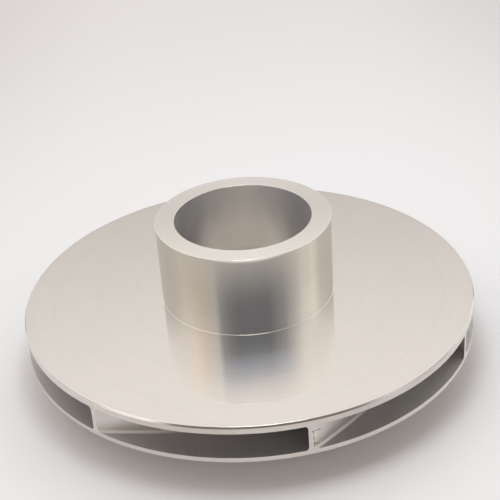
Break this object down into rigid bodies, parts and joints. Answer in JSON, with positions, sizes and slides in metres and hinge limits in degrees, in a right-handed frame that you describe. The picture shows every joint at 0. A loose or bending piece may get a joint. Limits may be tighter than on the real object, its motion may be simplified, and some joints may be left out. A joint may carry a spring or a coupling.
{
  "type": "closed pump impeller",
  "caption": "Closed radial pump impeller: flat shrouds, backward-swept vanes, a tall suction neck and a keyed hub that throw water from the eye to the rim.",
  "frame": {"origin": "on the shaft axis, in the rear face of the hub's boss, which the impeller stands on", "axes": "+Z along the shaft axis towards the suction eye; +X towards the hub's keyway"},
  "size_m": [0.209, 0.209, 0.0699],
  "materials": {
    "shroud_steel": "fine turned, satin",
    "neck_steel": "fine turned, satin",
    "vane_steel": "as cast, vane tips turned flush with the rim",
    "hub_steel": "turned faces and bore"
  },
  "bodies": {
    "root": {"front_shroud": "shroud_steel", "suction_neck": "neck_steel", "back_shroud": "shroud_steel", "hub": "hub_steel", "hub_flare": "vane_steel", "vane_1": "vane_steel", "vane_2": "vane_steel", "vane_3": "vane_steel", "vane_4": "vane_steel", "vane_5": "vane_steel", "vane_6": "vane_steel", "vane_7": "vane_steel"}
  },
  "joints": []
}
